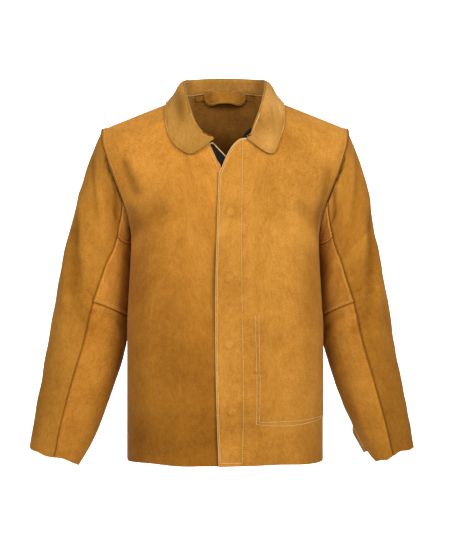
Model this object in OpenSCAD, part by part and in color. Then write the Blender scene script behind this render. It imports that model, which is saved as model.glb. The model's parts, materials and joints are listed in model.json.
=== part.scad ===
// Leather welding jacket: split-hide panels, turned-down collar, fly front with
// concealed press studs, two-piece sleeves with armpit gussets, hung by its neck loop.
// Front faces -Y, the wearer's left is +X. Shapes are worked out with z = 0 at the
// front hem and y = 0 at the side seams, then moved so the neck loop is the origin.

/* [Torso] */
// Half-width of the body at the hem
hem_half_w = 199; // [190:1:201]
// Half-width of the body at the armpits
chest_half_w = 192; // [185:1:193]
// Depth of the front, from the side seams forwards
front_depth = 142; // [130:1:150]
// Depth of the back, from the side seams backwards
back_depth = 128; // [118:1:140]
// Height of the armpits above the hem
armpit_z = 455; // [445:1:460]
// Half-width across the shoulder tips
shoulder_half_w = 250; // [246:1:254]
// Height of the shoulder tips above the hem
tip_z = 674; // [668:1:680]
// Height of the back neck seam above the hem
back_neck_z = 754; // [750:1:758]

/* [Leather] */
// Thickness of the split hide
leather = 2; // [1.6:0.1:2.2]
// Thickness of the woven stud tapes
tape_t = 1; // [0.8:0.1:1.1]

/* [Front opening] */
// Distance from the middle to each line that a front folds along
hinge_x = 128; // [120:1:135]
// Width of the left front's stud tape
left_tape_w = 50; // [44:1:52]
// Width of the right front's stud tape
right_tape_w = 70; // [64:1:72]
// Number of press studs
stud_count = 4; // [2:1:5]
// Distance between press studs
stud_pitch = 130; // [100:1:135]
// Height of the lowest stud above the hem
stud_z0 = 108; // [80:1:115]

/* [Collar] */
// Half-width of the neck at the shoulder seams
neck_half_w = 85; // [82:1:88]
// Height of the stand at the back
stand_h = 34; // [28:1:38]

/* [Neck loop] */
// Length of the neck loop, end to end
loop_len = 87; // [80:1:95]
// Free gap behind the middle of the loop
loop_gap = 9.5; // [9:0.5:11]

/* [Sleeves] */
// Half-depth of a sleeve at the elbow
elbow_half_d = 62; // [56:1:66]
// Half-depth of a sleeve at the cuff
cuff_half_d = 43; // [38:1:48]

/* [Hidden] */

hide = "#C08432";
black = "#1B1B20";
steel = "#B9BCC0";

roundness = 2.3;      // exponent of the body's plan outline: 2 is an ellipse
chest_z = 430;        // height above which front and back draw in
front_fade = 340;     // how far above chest_z the front would reach the side seam's plane
back_fade = 390;
ridge_r = 70;         // height over which the shoulder rounds over
shoulder_slope = 0.4;
seam_gap = 0.3;       // half the gap between pieces that are sewn edge to edge
flap_top = 602;       // where the folding part of a front ends, just under the collar
closure_shift = 11;   // how far the neck's closure sits towards the wearer's left
collar_end = 33;      // distance from the closure to the front end of the collar
neck_top = tip_z + shoulder_slope * (shoulder_half_w - neck_half_w);
neck_front_z = 646;   // height of the neckline where the collar ends
neck_scoop = 2.3;     // exponent of the front neckline's curve
cut_corner = 36;      // where the slanting top corner of the right front's hide begins
under_collar = 626;   // top of the right front's folding part, which passes under the collar
loop_z = 746;
under = 2 * leather + 2 * tape_t + 5.3;   // depth of the whole overlapped stack less one hide

// ---------- small helpers ----------
function unit_range(t) = min(1, max(0, t));
function smooth(t) = let (c = unit_range(t)) c * c * (3 - 2 * c);
function mix(a, b, t) = a + (b - a) * t;
function spread(a, b, n) = [for (k = [0 : n]) mix(a, b, k / n)];

// Catmull-Rom curve through the points of a list, t from 0 to 1
function along(pts, t) =
    let (n = len(pts) - 1, s = unit_range(t) * n, k = min(n - 1, floor(s)), f = s - k,
        p0 = pts[max(0, k - 1)], p1 = pts[k], p2 = pts[k + 1], p3 = pts[min(n, k + 2)])
    0.5 * (2 * p1 + (p2 - p0) * f + (2 * p0 - 5 * p1 + 4 * p2 - p3) * f * f
        + (3 * p1 - p0 - 3 * p2 + p3) * f * f * f);

// Normal of a point grid: rows run along one edge, columns along the other
function grid_normal(g, i, j) =
    let (a = g[min(i + 1, len(g) - 1)][j] - g[max(i - 1, 0)][j],
        b = g[i][min(j + 1, len(g[0]) - 1)] - g[i][max(j - 1, 0)], n = cross(b, a))
    n / norm(n);

// A leather piece: the outer face is the grid, the inner face lies t behind it
module hide_shell(g, t) {
    rows = len(g);
    cols = len(g[0]);
    count = rows * cols;
    outer = [for (i = [0 : rows - 1]) for (j = [0 : cols - 1]) g[i][j]];
    inner = [for (i = [0 : rows - 1]) for (j = [0 : cols - 1]) g[i][j] - t * grid_normal(g, i, j)];
    skin = [for (i = [0 : rows - 2]) for (j = [0 : cols - 2])
        let (p = i * cols + j) each [[p, p + cols, p + cols + 1], [p, p + cols + 1, p + 1]]];
    lining = [for (f = skin) [f[2] + count, f[1] + count, f[0] + count]];
    rim = concat([for (j = [0 : cols - 1]) j],
        [for (i = [1 : rows - 1]) i * cols + cols - 1],
        [for (j = [cols - 2 : -1 : 0]) (rows - 1) * cols + j],
        [for (i = [rows - 2 : -1 : 1]) i * cols]);
    edge = [for (k = [0 : len(rim) - 1])
        let (p = rim[k], q = rim[(k + 1) % len(rim)])
        each [[p, q, q + count], [p, q + count, p + count]]];
    polyhedron(points = concat(outer, inner), faces = concat(skin, lining, edge), convexity = 8);
}

// ---------- the body's surface ----------
function edge_x(z) = z < armpit_z
    ? mix(chest_half_w, hem_half_w, smooth((armpit_z - z) / 200))
    : mix(chest_half_w, shoulder_half_w, smooth((z - armpit_z) / (tip_z - armpit_z)));
function body_x(z) = z < armpit_z ? edge_x(z) : chest_half_w + 85 * smooth((z - armpit_z) / 200);
function plan(x, z) = pow(max(0, 1 - pow(abs(x) / body_x(z), roundness)), 1 / roundness);
function fade(z, length) = z < chest_z ? 1 : sqrt(max(0, 1 - pow((z - chest_z) / length, 2)));
function ridge(drop) = sqrt(max(0, 1 - pow(1 - unit_range(drop / ridge_r), 2)));
function seam_z(x) = tip_z + shoulder_slope * (shoulder_half_w - abs(x));
// The edges draw apart at the shoulder seams, where both hides turn level
function shoulder_gap(drop) = seam_gap + 1.2 * smooth(1 - drop / 24);
function back_top(x) = seam_z(x) + 150 * max(0, 1 - pow(x / neck_half_w, 2));
function front_y(x, z) = -front_depth * fade(z, front_fade) * plan(x, z) * ridge(seam_z(x) - z);
function back_y(x, z) = back_depth * fade(z, back_fade) * plan(x, z) * ridge(back_top(x) - z);

// ---------- outlines ----------
// Neckline of a front between the collar's end (at x = end_x) and the shoulder seam
function front_neck(x, end_x) =
    mix(neck_front_z, neck_top, pow(unit_range((x - end_x) / (neck_half_w - end_x)), neck_scoop));
function back_neck(x) = mix(neck_top, back_neck_z, sqrt(max(0, 1 - pow(x / neck_half_w, 2))));
// Seam to the body, from the middle of the back (t = 0) to the front end (t = 1)
function neck_seam(t) = t < 0.5
    ? let (x = neck_half_w * sin(180 * t)) [x, back_y(x, back_neck(x)), back_neck(x)]
    : let (x = neck_half_w - (neck_half_w - collar_end) * (1 - cos(180 * (t - 0.5))),
        z = front_neck(x, collar_end)) [x, front_y(x, z), z];
// The closure lies off the middle: the fold line moves only near its end, the rim sooner
function shift(t, r) = closure_shift * mix(smooth((t - 0.8) / 0.2), smooth((t - 0.55) / 0.25), r);
function stand_height(t) = mix(stand_h, 3, unit_range((t - 0.4) / 0.6));
function fold_line(t) = let (p = neck_seam(t)) p + stand_height(t) * [0, 0, 1] - 0.1 * stand_height(t) * away(p);
// Outer edge of the turned-down leaf, as x, z and which side of the shoulder it lies on
leaf_edge = [[0, 712, 1], [46, 711, 1], [86, 711, 1], [110, 717, 0.6], [119, 727, 0],
    [121, 707, -1], [119, 686, -1], [113, 658, -1], [104, 634, -1], [93, 619, -1],
    [81, 612, -1], [68, 616, -1], [51, 628, -1], [33, 642, -1]];
function leaf_rim(t) = let (e = along(leaf_edge, t), x = e[0], z = e[1])
    [x, e[2] > 0 ? mix(0, back_y(x, z), unit_range(e[2])) + 5 : front_y(x, z) - 5, z + 2.5];
// The leaf between fold (r = 0) and rim (r = 1)
leaf_bulge = 0.16;   // how far the leaf stands out between them, as a share of its width
function leaf(t, r) =
    let (a = fold_line(t) + 3 * away(neck_seam(t)), c = leaf_rim(t),
        b = a + leaf_bulge * norm(c - a) * away(neck_seam(t)) + [0, 0, 2])
    (1 - r) * (1 - r) * a + 2 * r * (1 - r) * b + r * r * c;
tip_start = 0.66;    // where the liftable tip of each collar leaf begins

function end_of(side) = collar_end + side * closure_shift;
function hide_end(side) = side > 0 ? end_of(side) : cut_corner;
// Rounded top corner of each front's free edge, which is at x = edge
function corner_top(x, edge, end_x, drop, power) =
    neck_front_z - drop * pow(1 - unit_range((x - edge) / (end_x - edge)), power);
function left_top(x) = corner_top(x, -12.5, end_of(1), 78, 2.4);
function right_top(x) = min(under_collar, corner_top(x, 8, cut_corner, 62, 1));
// Slanting top of the layers behind the right front's corner
function layer_top(x) = min(under_collar - 2, neck_front_z - 7 - 1.08 * (x + 24));
function left_edge(z) = -12.5 - 6.5 * sin(180 * unit_range(z / 560));
// The right front lies under the left one near the middle
function tuck(x) = (leather + tape_t + 1.4) * smooth((100 - x) / 78);

// ---------- torso pieces ----------
module back_panel() color(hide) {
    // Where the upright lines of the panel meet the shoulder seams and the back neck
    shoulder = [for (a = spread(90, 15, 5)) mix(neck_half_w, shoulder_half_w, sin(a))];
    neck = [for (a = spread(90, -90, 12)) neck_half_w * sin(a)];
    tops = concat(shoulder, neck, [for (k = [len(shoulder) - 1 : -1 : 0]) -shoulder[k]]);
    hide_shell([for (r = spread(0, 1, 18)) [for (top = tops)
        let (z_top = abs(top) < neck_half_w ? back_neck(top) : seam_z(top),
            z = mix(0, z_top, r * (1.45 - 0.45 * r)), x = top / shoulder_half_w * edge_x(z))
        [x, back_y(x, z) + shoulder_gap(back_top(x) - z), z]]], leather);
}

// Chest of a front, from the folding part up to the neckline, shoulder seam and armhole
module front_upper(side) {
    start = hide_end(side) + 0.9;
    // Top edge: the neckline from the opening outwards, then the shoulder seam
    tops = concat(
        [for (t = spread(side > 0 ? 1 : 0.925, 0.5, 10)) let (p = neck_seam(t))
            [max(start, p[0] + side * shift(t, 0)), p[2]]],
        [for (k = [1 : 10]) let (x = mix(neck_half_w, shoulder_half_w, k / 10)) [x, seam_z(x)]]);
    last = len(tops) - 1;
    hide_shell([for (r = spread(0, 1, 8)) [for (k = [0 : last])
        let (z = mix(flap_top + seam_gap, tops[k][1], r),
            q = mix(k / last, (tops[k][0] - start) / (shoulder_half_w - start), r),
            x = mix(start, edge_x(z), q))
        [x, front_y(x, z) - shoulder_gap(seam_z(x) - z), z]]], leather);
}
module left_front_upper() color(hide) front_upper(1);
module right_front_upper() color(hide) mirror([1, 0, 0]) front_upper(-1);

// Side of a front, from the fold to the side seam and armhole
module front_side()
    hide_shell([for (z = spread(0, flap_top - seam_gap, 12)) [for (k = spread(0, 1, 6))
        let (x = edge_x(z) * sin(mix(asin((hinge_x + seam_gap) / edge_x(z)), 90, k)))
        [x, front_y(x, z) - seam_gap, z]]], leather);
module left_front_side() color(hide) front_side();
module right_front_side() color(hide) mirror([1, 0, 0]) front_side();

// Strip that follows the front at a depth, between two lines of constant x
function strip(x0, x1, cols, z0, top, rows, depth) =
    [for (r = spread(0, 1, rows)) [for (x = spread(x0, x1, cols))
        let (z = mix(z0, top(x), r)) [x, front_y(x, z) - seam_gap + depth(x), z]]];

// ---------- folding fronts ----------
function flap_columns(edge, end_x) =
    concat(spread(edge, end_x - 0.6, 5), spread(end_x + 0.2, hinge_x - seam_gap, 6));
module left_front_flap() color(hide)
    hide_shell([for (r = spread(0, 1, 14)) [for (c = flap_columns(0, end_of(1)))
        let (x_top = mix(left_edge(600), hinge_x, c / hinge_x),
            z = mix(0, c < end_of(1) ? left_top(x_top) : flap_top - seam_gap, r),
            x = mix(left_edge(z), hinge_x, c / hinge_x))
        [x, front_y(x, z) - seam_gap, z]]], leather);
module right_front_flap() color(hide) mirror([1, 0, 0])
    hide_shell([for (r = spread(0, 1, 14)) [for (x = flap_columns(8, cut_corner))
        let (z = mix(0, x < cut_corner ? right_top(x) : flap_top - seam_gap, r))
        [x, front_y(x, z) - seam_gap + tuck(x), z]]], leather);

module left_stud_tape() color(black)
    hide_shell(strip(-9, -9 + left_tape_w, 4, 6, function (x) left_top(x) - 6, 14,
        function (x) leather + 0.5), tape_t);
module right_stud_tape() color(black)
    hide_shell(strip(38 - right_tape_w, 38, 6, 6, function (x) layer_top(x) - 2, 14,
        function (x) under - leather - tape_t), tape_t);
module right_facing() color(hide)
    hide_shell(strip(-35, 40, 6, 3, function (x) layer_top(x), 14,
        function (x) under - leather + 0.3), leather);

// Press studs: a socket under the left front, a post on the right one
stud_x = 12;
module each_stud(depth)
    for (k = [0 : stud_count - 1])
        let (z = stud_z0 + k * stud_pitch)
        translate([stud_x, front_y(stud_x, z) - seam_gap + depth, z]) rotate([90, 0, 0]) children();
socket_h = 1.9;
socket_depth = 6.5;  // from the front's face to the back of the sockets
module stud_sockets() color(steel)
    each_stud(socket_depth)
        difference() {
            cylinder(r = 6, h = socket_h, $fn = 32);
            translate([0, 0, -0.1]) cylinder(r = 3, h = socket_h - 0.2, $fn = 32);
        }
module stud_posts() color(steel)
    each_stud(under - leather - tape_t - 0.5)
        union() {
            cylinder(r = 5.5, h = 0.7, $fn = 32);
            cylinder(r = 2, h = 2.1, $fn = 32);
        }

// ---------- inside pocket, sewn behind the left front ----------
pocket_top = 295;
pocket_bottom = 84;
pocket_in = 62;
module pocket_bag(x0, x1, cols) color(hide)
    hide_shell([for (z = spread(pocket_bottom, pocket_top, 5)) [for (x = spread(x0, x1, cols))
        [x, front_y(x, z) + 1.3 - seam_gap + leather / (0.1 + 0.9 * plan(x, z)), z]]], 1.2);
module pocket_bag_front() pocket_bag(pocket_in, hinge_x - 1, 3);
module pocket_bag_side() pocket_bag(hinge_x + 1, 182, 4);

// ---------- collar ----------
function away(p) = let (v = [p[0], p[1] + 10, 0]) v / norm(v);
// Part of the collar between two places round the neck; side is 1 on the wearer's left
function collar_point(t, r, side) = let (p = leaf(abs(t), r), across = side * shift(abs(t), r))
    over_body([(t < 0 ? -1 : 1) * p[0] + across, p[1], p[2]], 30 + across);
// Keeps the leaf clear of the body under it, except at its free front end
function over_body(p, free_x) = p[2] > seam_z(p[0]) - 3 || abs(p[0]) < free_x && p[1] < 0 ? p
    : p[1] < 0 ? [p[0], min(p[1], front_y(p[0], p[2]) - 6), p[2]]
    : [p[0], max(p[1], back_y(p[0], p[2]) + 6), p[2]];
module leaf_part(side)
    hide_shell([for (r = spread(1, 0, 6)) [for (t = spread(1, tip_start, 8))
        collar_point(t, r, side)]], leather);
module collar_fall() color(hide)
    hide_shell([for (r = spread(1, 0, 8)) [for (t = spread(tip_start - 0.008, 0.008 - tip_start, 38))
        collar_point(t, r, 1)]], leather);
module left_collar_tip() color(hide) leaf_part(1);
module right_collar_tip() color(hide) mirror([1, 0, 0]) leaf_part(-1);
module collar_stand() color(hide)
    hide_shell([for (r = spread(0, 1, 3)) [for (t = spread(1, -1, 32))
        let (a = neck_seam(abs(t)), c = fold_line(abs(t)), p = mix(a, c, r) + [0, 0, mix(2.2, -0.5, r)])
        [sign(t) * p[0] + shift(abs(t), 0), p[1], p[2]]]], leather);

// ---------- neck loop and neck tape ----------
module neck_tape() color(hide)
    hide_shell([for (z = spread(-11, -1, 2)) [for (x = spread(62, -62, 12))
        [x, back_y(x, back_neck(x) + z) + seam_gap - leather - 2, back_neck(x) + z]]], 1);

function loop_half_h(x) = mix(11.7, 15.8, smooth((abs(x) - 8) / 20))
    * sqrt(max(0.05, 1 - pow(unit_range((abs(x) - loop_len / 2 + 15) / 15), 2)));
// The ends lie on the back, and the middle stands clear of it in one upright plane
loop_y = back_y(0, loop_z) - leather - tape_t - 0.4 - loop_gap;
function loop_face(x, z) =
    mix(back_y(x, z) - leather - tape_t - 2.2, loop_y, smooth((31 - abs(x)) / 17));
module hanger_loop() color(hide)
    hide_shell([for (r = spread(-1, 1, 4)) [for (x = spread(-loop_len / 2, loop_len / 2, 16))
        let (z = loop_z + r * loop_half_h(x)) [x, loop_face(x, z) - leather, z]]], leather);

// ---------- sleeves ----------
// Outer and inner lines of the sleeve seen from the front, and its half-depth, top to cuff
sleeve_outer = [[251, 673], [273, 618], [294, 545], [315, 452], [337, 340], [352, 250], [369, 160], [382, 82], [394, 22]];
sleeve_inner = [[193, 456], [200, 430], [203, 395], [204, 350], [204, 298], [205, 232], [225, 152], [259, 68], [301, -6]];
sleeve_depth = [60, 62, 63, 64, elbow_half_d, 60, 56, 50, cuff_half_d];
elbow = 0.5;         // where along the sleeve the elbow seam is
gusset_end = 0.13;   // where the armpit gusset ends

// Armhole edge of the body at an angle round the sleeve, 0 at the shoulder tip, 180 at the armpit
function armhole(a) = let (z = mix(armpit_z, tip_z, (1 + cos(a)) / 2), x = edge_x(z))
    [x, a < 180 ? front_y(x, z) : back_y(x, z), z] + 2.3 * [0.966, 0, -0.26];
function sleeve_ring(s, a) =
    let (o = along(sleeve_outer, s), i = along(sleeve_inner, s), d = along(sleeve_depth, s),
        c = cos(a), n = sin(a), w = 0.5 * (1 + sign(c) * pow(abs(c), 0.92)),
        y = -d * sign(n) * pow(abs(n), 0.92))
    [mix(i[0], o[0], w), y, mix(i[1], o[1], w)];
function sleeve(s, a) = mix(armhole(a), sleeve_ring(s, a), smooth(s / 0.14));
// Angle of the front seam between the top and under sleeve; the back seam mirrors it
function seam_angle(s) = mix(112, 96, smooth(s / 0.45));

function sleeve_half(s0, s1, rows, cols, from, to) =
    [for (s = spread(s0, s1, rows)) [for (k = spread(0, 1, cols))
        let (a = mix(from(s), to(s), k)) sleeve(s, (a + 360) % 360)]];
top_from = function (s) -seam_angle(s) + 0.4;
top_to = function (s) seam_angle(s) - 0.4;
under_from = function (s) seam_angle(s) + 0.4;
under_to = function (s) 360 - seam_angle(s) - 0.4;

module sleeve_top_part(s0, s1, rows) hide_shell(sleeve_half(s0, s1, rows, 12, top_from, top_to), leather);
module sleeve_under_part(s0, s1, rows) hide_shell(sleeve_half(s0, s1, rows, 10, under_from, under_to), leather);
slit = 0.0007;   // half the gap at a cross seam, as a share of the sleeve's length

module left_sleeve_top_upper() color(hide) sleeve_top_part(0, elbow - slit, 10);
module left_armpit_gusset() color(hide) sleeve_under_part(0, gusset_end - slit, 3);
module left_sleeve_under_upper() color(hide) sleeve_under_part(gusset_end + slit, elbow - slit, 8);
module left_sleeve_top_lower() color(hide) sleeve_top_part(elbow + slit, 1, 8);
module left_sleeve_under_lower() color(hide) sleeve_under_part(elbow + slit, 1, 8);
module right_sleeve_top_upper() mirror([1, 0, 0]) left_sleeve_top_upper();
module right_armpit_gusset() mirror([1, 0, 0]) left_armpit_gusset();
module right_sleeve_under_upper() mirror([1, 0, 0]) left_sleeve_under_upper();
module right_sleeve_top_lower() mirror([1, 0, 0]) left_sleeve_top_lower();
module right_sleeve_under_lower() mirror([1, 0, 0]) left_sleeve_under_lower();

// ---------- all pieces, with the neck loop's gap at the origin ----------
origin_y = loop_y + 2.5;
translate([0, -origin_y, -loop_z]) {
    back_panel();
    left_front_upper();
    right_front_upper();
    left_front_side();
    right_front_side();
    collar_stand();
    collar_fall();
    neck_tape();
    hanger_loop();
    pocket_bag_side();
    left_front_flap();
    left_stud_tape();
    stud_sockets();
    pocket_bag_front();
    right_front_flap();
    right_stud_tape();
    right_facing();
    stud_posts();
    left_collar_tip();
    right_collar_tip();
    left_sleeve_top_upper();
    left_sleeve_under_upper();
    left_armpit_gusset();
    left_sleeve_top_lower();
    left_sleeve_under_lower();
    right_sleeve_top_upper();
    right_sleeve_under_upper();
    right_armpit_gusset();
    right_sleeve_top_lower();
    right_sleeve_under_lower();
}
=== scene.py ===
"""Leather welding jacket: hides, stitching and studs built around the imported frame.

Lengths are in millimetres in the jacket's own coordinates, z up from the front hem and y from
the side seams, until to_row() turns them into the frame's metres.
"""
import json
import math

import bpy
import numpy as np
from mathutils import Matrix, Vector


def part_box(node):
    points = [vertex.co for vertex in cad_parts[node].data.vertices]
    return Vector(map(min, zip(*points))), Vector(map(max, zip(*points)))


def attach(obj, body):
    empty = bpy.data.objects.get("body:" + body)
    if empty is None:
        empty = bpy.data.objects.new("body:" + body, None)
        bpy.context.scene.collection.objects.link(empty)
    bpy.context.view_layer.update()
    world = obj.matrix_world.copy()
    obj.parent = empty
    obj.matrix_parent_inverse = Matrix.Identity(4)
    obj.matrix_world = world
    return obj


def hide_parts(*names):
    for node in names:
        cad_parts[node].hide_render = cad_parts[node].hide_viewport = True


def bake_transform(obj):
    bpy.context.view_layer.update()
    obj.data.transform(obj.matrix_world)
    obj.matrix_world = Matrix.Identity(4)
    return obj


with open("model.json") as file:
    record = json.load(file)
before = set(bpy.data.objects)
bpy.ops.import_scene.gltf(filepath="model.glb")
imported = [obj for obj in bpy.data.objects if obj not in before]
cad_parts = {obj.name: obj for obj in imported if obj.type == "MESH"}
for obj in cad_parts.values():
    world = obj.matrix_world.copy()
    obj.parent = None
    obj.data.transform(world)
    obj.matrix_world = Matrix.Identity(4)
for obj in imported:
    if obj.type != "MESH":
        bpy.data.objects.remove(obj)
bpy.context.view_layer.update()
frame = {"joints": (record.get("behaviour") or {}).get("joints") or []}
MM = 0.001
JOINTS = {j["name"]: j for j in frame["joints"]}
TIP = JOINTS["left_sleeve_raises"]["pos_m"]
SIDE_Y = TIP[1]
HEM_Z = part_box("back_panel")[0].z
START = np.array([0.0, SIDE_Y, HEM_Z])      # where the jacket's own coordinates start


def to_row(points):
    return np.asarray(points, float) * MM + START


def node_box(node):
    return [(np.array(corner) - START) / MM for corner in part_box(node)]


# ---------------------------------------------------------------- sizes
# from the frame
TIP_X, TIP_Z = TIP[0] / MM, (TIP[2] - HEM_Z) / MM
GAP = 0.3                # every hide stands this much outside the plain body surface
FRONT_DEPTH = -node_box("left_front_flap")[0][1] - GAP
BACK_DEPTH = node_box("back_panel")[1][1] - GAP
BACK_NECK_Z = node_box("back_panel")[1][2]
LOOP_LOW, LOOP_HIGH = node_box("hanger_loop")
POCKET_LOW = node_box("pocket_bag_front")[0]
POCKET_HIGH = node_box("pocket_bag_side")[1]
# of the pattern
SIDE_NAME = {1: "left", -1: "right"}
LEATHER = 2.0
TAPE = 1.0
HEM_HALF, CHEST_HALF, ARMPIT_Z = 201.0, 193.0, 455.0
NECK_HALF, NECK_FRONT_Z = 85.0, 646.0
SLOPE = 0.4              # rise of a shoulder seam for each millimetre towards the neck
NECK_TOP = TIP_Z + SLOPE * (TIP_X - NECK_HALF)
SHOULDER_ROUND = 70.0    # height over which the fronts and the back round into the shoulder
PLAN_POWER = 2.3         # 2 would make the body an ellipse in plan
COLLAR_END = 33.0        # half the gap between the collar's ends at the neck seam
CLOSURE_SHIFT = 11.0     # the left end and both rims of the collar lean this far to the left
RIGHT_END_SHIFT = 4.5
FRONT_CORNER_X, CORNER_DROP = -12.5, 78.0    # the left front's top corner, and its fall to there
RIGHT_EDGE_X, RIGHT_CORNER_Z = 8.0, 584.0


# ---------------------------------------------------------------- small helpers
def clip01(t):
    return np.clip(t, 0.0, 1.0)


def smooth(t):
    c = clip01(t)
    return c * c * (3 - 2 * c)


def mix(a, b, t):
    return a + (b - a) * t


def bump(d, width):
    return np.exp(-((d / width) ** 2))


def unit(v):
    return v / np.maximum(np.linalg.norm(v, axis=-1, keepdims=True), 1e-9)


def power(base, exponent):
    return np.maximum(base, 0.0) ** exponent


def along(points, t):
    """Catmull-Rom curve through the points; t is an array from 0 to 1."""
    p = np.asarray(points, float)
    if p.ndim == 1:
        p = p[:, None]
    n = len(p) - 1
    s = clip01(np.asarray(t, float)) * n
    k = np.minimum(n - 1, np.floor(s).astype(int))
    f = (s - k)[..., None]
    p0, p1 = p[np.maximum(0, k - 1)], p[k]
    p2, p3 = p[k + 1], p[np.minimum(n, k + 2)]
    out = 0.5 * (2 * p1 + (p2 - p0) * f + (2 * p0 - 5 * p1 + 4 * p2 - p3) * f**2
                 + (3 * p1 - p0 - 3 * p2 + p3) * f**3)
    return out[..., 0] if out.shape[-1] == 1 else out


def ripple(a, b, seed, scale):
    """Smooth unevenness between about -1 and 1, with features about scale wide."""
    rng = np.random.default_rng(seed)
    total = np.zeros(np.broadcast(a, b).shape)
    for _ in range(9):
        turn = rng.uniform(0, 2 * math.pi)
        k = 2 * math.pi / (scale * rng.uniform(0.7, 1.9))
        total += np.sin(k * (a * math.cos(turn) + b * math.sin(turn)) + rng.uniform(0, 6.28))
    return total / 4.5


def crease(a, b, start, end, width, height):
    """A soft fold from start to end in a surface's own two coordinates."""
    d = np.array(end, float) - np.array(start, float)
    length = np.hypot(*d)
    t = ((a - start[0]) * d[0] + (b - start[1]) * d[1]) / length**2
    off = ((a - start[0]) * d[1] - (b - start[1]) * d[0]) / length
    ends = smooth(t / 0.3 + 0.35) * smooth((1 - t) / 0.3 + 0.35)
    return height * ends * bump(off, width)


def folds(a, b, lines):
    """All the creases of a list, added up."""
    return sum(crease(a, b, *line) for line in lines)


def shaded(tone, a, b, lines):
    """The tone, darker along each line by the share that is its last number."""
    for line in lines:
        tone = tone * (1 - crease(a, b, *line))
    return tone


# ---------------------------------------------------------------- body surface
def edge_x(z):
    """Half width of the front and back pieces, at the side seam or the armhole."""
    low = mix(CHEST_HALF, HEM_HALF, smooth((ARMPIT_Z - z) / 200))
    high = mix(CHEST_HALF, TIP_X, smooth((z - ARMPIT_Z) / (TIP_Z - ARMPIT_Z)))
    return np.where(z < ARMPIT_Z, low, high)


def body_x(z):
    """Half width of the form that they lie on, which runs on into the arms above the armpit."""
    return np.where(z < ARMPIT_Z, edge_x(z), CHEST_HALF + 85 * smooth((z - ARMPIT_Z) / 200))


def plan(x, z):
    """Share of the full depth at x, so that the body is rounded in plan."""
    return power(1 - power(np.abs(x) / body_x(z), PLAN_POWER), 1 / PLAN_POWER)


def fade(z, length):
    """The chest's depth shrinks over this length above the level where it is fullest."""
    full_z = 430
    return np.where(z < full_z, 1.0, np.sqrt(np.maximum(0, 1 - ((z - full_z) / length) ** 2)))


def ridge(drop):
    """Share of the depth that is left at a drop below the shoulder's ridge."""
    return np.sqrt(np.maximum(0, 1 - (1 - clip01(drop / SHOULDER_ROUND)) ** 2))


def seam_z(x):
    return TIP_Z + SLOPE * (TIP_X - np.abs(x))


def back_top(x):
    return seam_z(x) + 150 * np.maximum(0, 1 - (x / NECK_HALF) ** 2)


def front_y(x, z):
    return -FRONT_DEPTH * fade(z, 340) * plan(x, z) * ridge(seam_z(x) - z)


def back_y(x, z):
    return BACK_DEPTH * fade(z, 390) * plan(x, z) * ridge(back_top(x) - z)


def front_neck(x, end_x):
    return mix(NECK_FRONT_Z, NECK_TOP, power((x - end_x) / (NECK_HALF - end_x), 2.3))


def back_neck(x):
    return mix(NECK_TOP, BACK_NECK_Z, np.sqrt(np.maximum(0, 1 - (x / NECK_HALF) ** 2)))


def neck_seam(t):
    """From the middle of the back (t = 0) round to the front end of the collar (t = 1)."""
    t = np.asarray(t, float)
    xb = NECK_HALF * np.sin(np.pi * np.minimum(t, 0.5))
    zb = back_neck(xb)
    xf = NECK_HALF - (NECK_HALF - COLLAR_END) * (1 - np.cos(np.pi * (np.maximum(t, 0.5) - 0.5)))
    zf = front_neck(xf, COLLAR_END)
    back = np.stack([xb, back_y(xb, zb), zb], -1)
    front = np.stack([xf, front_y(xf, zf), zf], -1)
    return np.where((t < 0.5)[..., None], back, front)


def shift(t, r, side):
    """How far the collar leans to the wearer's left, at its fold (r = 0) and at its rim (r = 1)."""
    end = np.where(side > 0, CLOSURE_SHIFT, RIGHT_END_SHIFT)
    return mix(end * smooth((t - 0.8) / 0.2), CLOSURE_SHIFT * smooth((t - 0.55) / 0.25), r)


# ---------------------------------------------------------------- meshes
def normals_of(surface, a, b, step=0.6):
    """Outward normals of a surface of two coordinates; the second one steps backwards only."""
    da = surface(a + step, b) - surface(a - step, b)
    return unit(np.cross(da, surface(a, b) - surface(a, b - step)))


def lifted(base, relief):
    """The surface that stands relief(a, b) proud of base, and its normals."""
    def point(a, b):
        return base(a, b) + normals_of(base, a, b) * relief(a, b)[..., None]

    def normal(a, b):
        return normals_of(point, a, b)
    return point, normal


def mirrored(points, side):
    out = np.array(points, float)
    out[..., 0] *= side
    return out


def sample(surface, side, a, b):
    """Points and normals of a surface at a and b, mirrored to the side."""
    point, normal = surface
    return mirrored(point(a, b), side), mirrored(normal(a, b), side)


def new_object(name, points, faces, materials):
    mesh = bpy.data.meshes.new(name)
    mesh.from_pydata(to_row(points).tolist(), [], [list(f) for f in faces])
    for m in materials:
        mesh.materials.append(m)
    mesh.polygons.foreach_set("use_smooth", np.ones(len(mesh.polygons), bool))
    obj = bpy.data.objects.new(name, mesh)
    bpy.context.scene.collection.objects.link(obj)
    return obj


def dress(mesh, slots, normals, uv, tone):
    """Gives a mesh its material of each face, normals of each corner, UVs and tone of each point."""
    mesh.polygons.foreach_set("material_index", slots.astype(np.int32))
    corners = np.zeros(len(mesh.loops), np.int32)
    mesh.loops.foreach_get("vertex_index", corners)
    layer = mesh.uv_layers.new(name="UVMap")
    layer.data.foreach_set("uv", (uv[corners] * MM).astype(np.float32).ravel())
    attribute = mesh.attributes.new("tone", "FLOAT", "POINT")
    attribute.data.foreach_set("value", tone.astype(np.float32))
    mesh.normals_split_custom_set(normals.tolist())


FACE, FLESH, CUT = 0, 1, 2    # places of a hide's materials


def border(grid, inset=0):
    """The cells of a grid that lie inset in from its border, in order round it."""
    return np.concatenate([grid[inset, :], grid[1:, -1 - inset], grid[-1 - inset, -2::-1],
                           grid[-2:0:-1, inset]])


def lengths_along(grid, axis):
    """Mean distance from the start of a grid to each of its rows or columns."""
    steps = np.linalg.norm(np.diff(grid, axis=axis), axis=-1).mean(1 - axis)
    return np.concatenate([[0], np.cumsum(steps)])


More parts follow.
